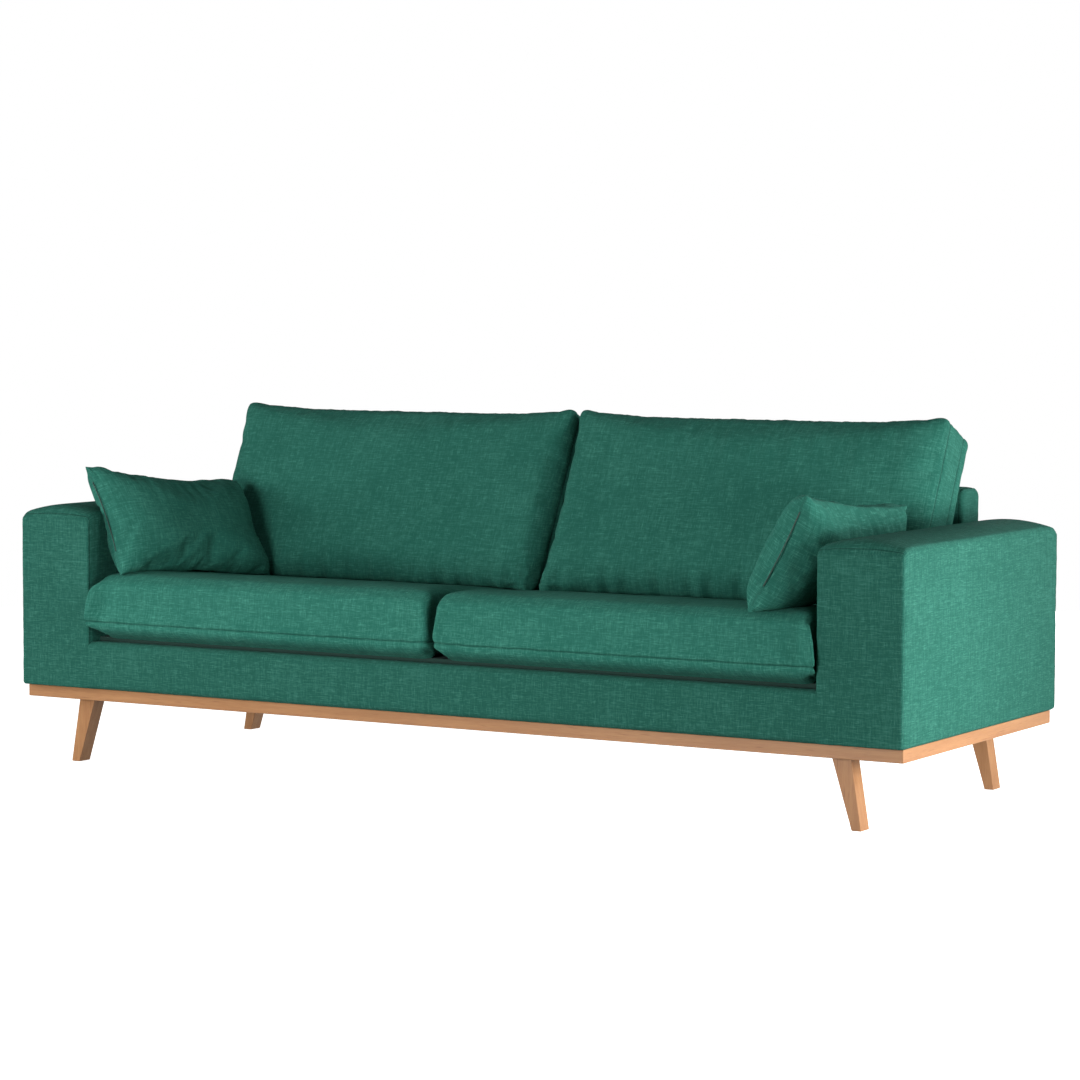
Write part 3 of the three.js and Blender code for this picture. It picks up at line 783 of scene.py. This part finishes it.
def pillowZip(side, material):
    # a coil zip in the near seam: a tube along the rim whose radius ripples once for every pair of teeth
    low, high = pillow["zip"]
    up = np.linspace(low, high, pillow["zipSteps"])[:, None]
    path = pillowSheet(side, np.zeros_like(up), up)
    _, _, nearLow, farLow = np.array(pillow[side])
    inward = (farLow - nearLow) / np.linalg.norm(farLow - nearLow)
    tangent = np.gradient(path, axis=0)
    length = np.concatenate([[0], np.cumsum(np.linalg.norm(np.diff(path, axis=0), axis=1))])
    tangent /= np.linalg.norm(tangent, axis=1, keepdims=True)
    sideways = np.cross(tangent, inward)
    sideways /= np.linalg.norm(sideways, axis=1, keepdims=True)
    outward = np.cross(sideways, tangent)
    turn = np.linspace(0, 2 * math.pi, 9)[:-1]
    teeth = np.sin(2 * math.pi * length / pillow["zipPitch"])
    radius = pillow["zipRadius"] * (1 + pillow["zipRipple"] * teeth)
    radius *= np.sqrt(np.clip(np.minimum(length, length[-1] - length) / 0.003, 0.02, 1))
    ring = sideways[:, None] * np.cos(turn)[:, None] + outward[:, None] * np.sin(turn)[:, None]
    points = (path[:, None] + ring * radius[:, None, None]).reshape(-1, 3)
    step, corner = np.meshgrid(np.arange(len(up) - 1), np.arange(8), indexing="ij")
    after = (corner + 1) % 8
    quads = np.stack([
        step * 8 + corner, step * 8 + after,
        (step + 1) * 8 + after, (step + 1) * 8 + corner,
    ], -1)
    ends = [list(range(8))[::-1], list(range(len(points) - 8, len(points)))]
    faces = quads.reshape(-1, 4).tolist() + ends
    return makePiece(f"pillowZip_{side}", points, faces, None, material)


def pillowSheet(side, along, up):
    # the blend of the four corners by the place along and up, its edges drawn in between the corners
    nearTop, farTop, nearLow, farLow = np.array(pillow[side])
    upper = (1 - along) * nearTop + along * farTop
    lower = (1 - along) * nearLow + along * farLow
    y, z = 2 * along - 1, 2 * up - 1
    lengthwise = (farLow - nearLow) / pillow["span"][0]
    upright = (nearTop - nearLow) / pillow["span"][1]
    drawnIn = y * (1 - z ** 2) * lengthwise + z * (1 - y ** 2) * upright
    return up * upper + (1 - up) * lower - pillow["pullIn"] * drawnIn


def lumbarPillow(side, material):
    # two shaped cloths sewn at the rim, blown up with the rim held, then rested on the seat and the arm.
    # Their rise from the rim is the root of (1 - length place ** 6) * (1 - height place ** 4)
    length, height = pillow["face"]
    lines = [
        np.array([-1.0, 1.0]),
        gridLines(0, 1, pillow["step"] / length, 0.02),
        gridLines(0, 1, pillow["step"] / 0.26, 0.03),
    ]
    sharp, quads, clothMap = boxGrid(lines)
    along, up = sharp[:, 1:2], sharp[:, 2:3]
    nearTop, _, nearLow, farLow = np.array(pillow[side])
    facing = np.cross(farLow - nearLow, nearTop - nearLow)
    facing *= 1 / np.linalg.norm(facing)
    y, z = 2 * along - 1, 2 * up - 1
    full = ((1 - y ** 6) * (1 - z ** 4)) ** 0.5
    rise = pillow["rim"] + full * pillow["plump"]
    points = pillowSheet(side, along, up) + facing * rise * sharp[:, :1]
    if np.dot(facing, (1, 0, 0)) < 0:
        quads = quads[:, ::-1]
        clothMap = clothMap[:, ::-1]
    held = (np.abs(y[:, 0]) > 0.999) | (np.abs(z[:, 0]) > 0.999)
    points = inflate(points, quads, pillow, held)
    piece = makePiece(f"lumbarPillow_{side}", points, quads, clothMap * (length, height), material)
    fromEnd, fromRim = np.minimum(along, 1 - along) * length, np.minimum(up, 1 - up) * height
    fromEdge = np.minimum(fromEnd, fromRim)[:, 0]
    for name, values in (("edge", fromEdge), ("along", along[:, 0]), ("up", up[:, 0])):
        keepValue(piece, name, values)
    refine(piece)
    points, facing = readPoints(piece)
    edge, along, up = (readValue(piece, name) for name in ("edge", "along", "up"))
    seed = pillow["seed"] + len(side)
    pleats = ripple(along[:, None] * length, pillow["gatherWidth"], seed, 5)
    gathers = pleats * pillow["gathers"] * nearness(1 - up, 0.30) * smoothStep(edge, 0, 0.02)
    crumple = ripple(points, pillow["crumpleWidth"], seed + 6) * pillow["crumple"] * nearness(edge, 0.05)
    soft = ripple(points, pillow["softWidth"], seed + 8) * pillow["soft"]
    slit = zipShare(up) * nearness(along * length, pillow["slitWidth"]) * pillow["slitDepth"]
    points = points + facing * (gathers + crumple + soft)[:, None]
    points += slit[:, None] * (farLow - nearLow) / np.linalg.norm(farLow - nearLow)
    armLow, armHigh = [np.array(corner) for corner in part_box(f"arm_cover_{side}")]
    armHigh = armHigh - (0, 0, pillow["armDip"])
    points = pushOut(points, armLow, armHigh, pillow["armRadius"], pillow["armGap"])
    movePoints(piece, restOnSeat(points))
    return piece


def paleFloor():
    # a flat disc of rings, its points at radius times (cosine, sine)
    steps, count = 96, 9
    turn = np.linspace(0, 2 * math.pi, steps + 1)[:-1]
    rings = np.linspace(0.02, 1, count)[:, None] * studio["floor"]["radius"]
    points = np.stack([rings * np.cos(turn), rings * np.sin(turn), np.zeros((count, steps))], -1)
    ring, step = np.meshgrid(np.arange(count - 1), np.arange(steps), indexing="ij")
    after = (step + 1) % steps
    quads = np.stack([
        ring * steps + step, (ring + 1) * steps + step,
        (ring + 1) * steps + after, ring * steps + after,
    ], -1)
    faces = quads.reshape(-1, 4).tolist() + [list(range(steps))]
    f = Finish("paleFloor")
    colour = (*studio["floor"]["colour"], 1)
    material = f.finish(
        colour=colour, roughness=0.8, glow=colour, glowStrength=studio["floor"]["glow"],
    )
    disc = makePiece("floor", points.reshape(-1, 3), faces, None, material)
    disc.visible_diffuse = False  # its glow doesn't light the sofa from below
    return disc


buildStudio()
print("studio built")

# painted light: one cloth in four copies; the seat, back and pillow copies are brightened by their tone
# to stand in for the light that reaches them
bodyCloth = wovenCloth("bodyCloth", 1.0, 0.0)
seatCloth = wovenCloth("seatCloth", 1.42, 30.0)
backCloth = wovenCloth("backCloth", 1.22, 20.0)
pillowCloth = wovenCloth("pillowCloth", 1.34, 40.0)
woodAlongX = grainedWood("paleWoodAcross", 0, wood["dark"], wood["pale"])
woodAlongY = grainedWood("paleWoodDeep", 1, wood["dark"], wood["pale"])
woodAlongZ = grainedWood("paleWoodLeg", 2, wood["dark"], wood["pale"])
plainWood = (0.42, 0.27, 0.13), (0.62, 0.45, 0.26), 0.75, 0.0  # dark, pale, roughness, coat
frameWoodX = grainedWood("frameWoodAcross", 0, *plainWood)
frameWoodY = grainedWood("frameWoodDeep", 1, *plainWood)
frameWoodZ = grainedWood("frameWoodUpright", 2, *plainWood)
springSteel = plainFinish("springSteel", (0.42, 0.43, 0.44), 0.35, 1.0, 0.1, 600.0)
darkStrap = plainFinish("darkStrap", (0.03, 0.03, 0.033), 0.85, 0.0, 0.3, 900.0)
deckFelt = plainFinish("deckFelt", (0.035, 0.037, 0.036), 0.95, 0.0, 0.35, 700.0)
# near black: partly the deck cloth's own dark colour, partly painted shade for the gap between the seat
# cushions and the front border
deckClothAndGapShade = plainFinish("deckClothAndGapShade", (0.004, 0.026, 0.019), 0.95, 0.0, 0.3, 900.0)
zipCoil = plainFinish("zipCoil", (0.006, 0.030, 0.023), 0.6, 0.0, 0.3, 900.0)
print("finishes made")

for side in ("left", "right"):
    low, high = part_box(f"arm_cover_{side}")
    arm = upholsteredBlock(f"armCover_{side}", low, (*high[:2], armSpec["top"]), 1, armSpec, bodyCloth)
    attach(arm, "sofa_frame")
    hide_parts(f"arm_cover_{side}")

for name, node, spec in (
    ("frontBorder", "front_border_cover", borderSpec),
    ("backPanel", "back_cover", backSpec),
):
    low, high = [np.array(corner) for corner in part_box(node)]
    past = np.array((padding["pastNode"], 0, 0))
    block = upholsteredBlock(name, low - past, high + past, 0, spec, bodyCloth)
    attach(block, "sofa_frame")
    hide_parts(node)
print("upholstered frame made")

for side in ("left", "right"):
    for kind, make, finish, slot, fill in (
        ("seat_cushion", seatCushion, seatCloth, "cushion_fabric", 0.85),
        ("back_cushion", backCushion, backCloth, "cushion_fabric", 0.75),
        ("lumbar_pillow", lumbarPillow, pillowCloth, "pillow_fabric", 0.7),
    ):
        piece = make(side, finish)
        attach(piece, f"{kind}_{side}")
        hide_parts(f"{kind}_{side}")
        print("made", piece.name)

for side in ("left", "right"):
    zipper = pillowZip(side, zipCoil)
    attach(zipper, f"lumbar_pillow_{side}")

grainOf = {
    "plinth_board_front": woodAlongX, "plinth_board_rear": woodAlongX,
    "plinth_board_left": woodAlongY, "plinth_board_right": woodAlongY,
    "leg_": woodAlongZ, "leg_bolt": springSteel, "tee_nut": springSteel, "seat_spring": springSteel,
    "back_webbing": darkStrap, "deck_pad": deckClothAndGapShade, "dust_cover": deckFelt,
    "plinth_brace": frameWoodY, "arm_": frameWoodY,
    "arm_front_post": frameWoodZ, "arm_rear_post": frameWoodZ,
    "seat_rail": frameWoodX, "seat_rail_left": frameWoodY, "seat_rail_right": frameWoodY,
    "seat_rail_middle": frameWoodY, "back_rail": frameWoodX, "back_post": frameWoodZ,
}
for name, node in nodes.items():
    fitting = [key for key in grainOf if name.startswith(key)]
    if node.hide_render or not fitting:
        continue
    node.data.materials.clear()
    node.data.materials.append(grainOf[max(fitting, key=len)])
    if name.startswith(("plinth_", "leg_front", "leg_rear")):
        weld = node.modifiers.new("weld", "WELD")
        weld.merge_threshold = 0.0001
        ease = node.modifiers.new("easedEdges", "BEVEL")
        ease.width = 0.0016
        ease.segments = 2
        ease.limit_method = "ANGLE"
        ease.angle_limit = math.radians(40)
print("frame finished")

floor = paleFloor()
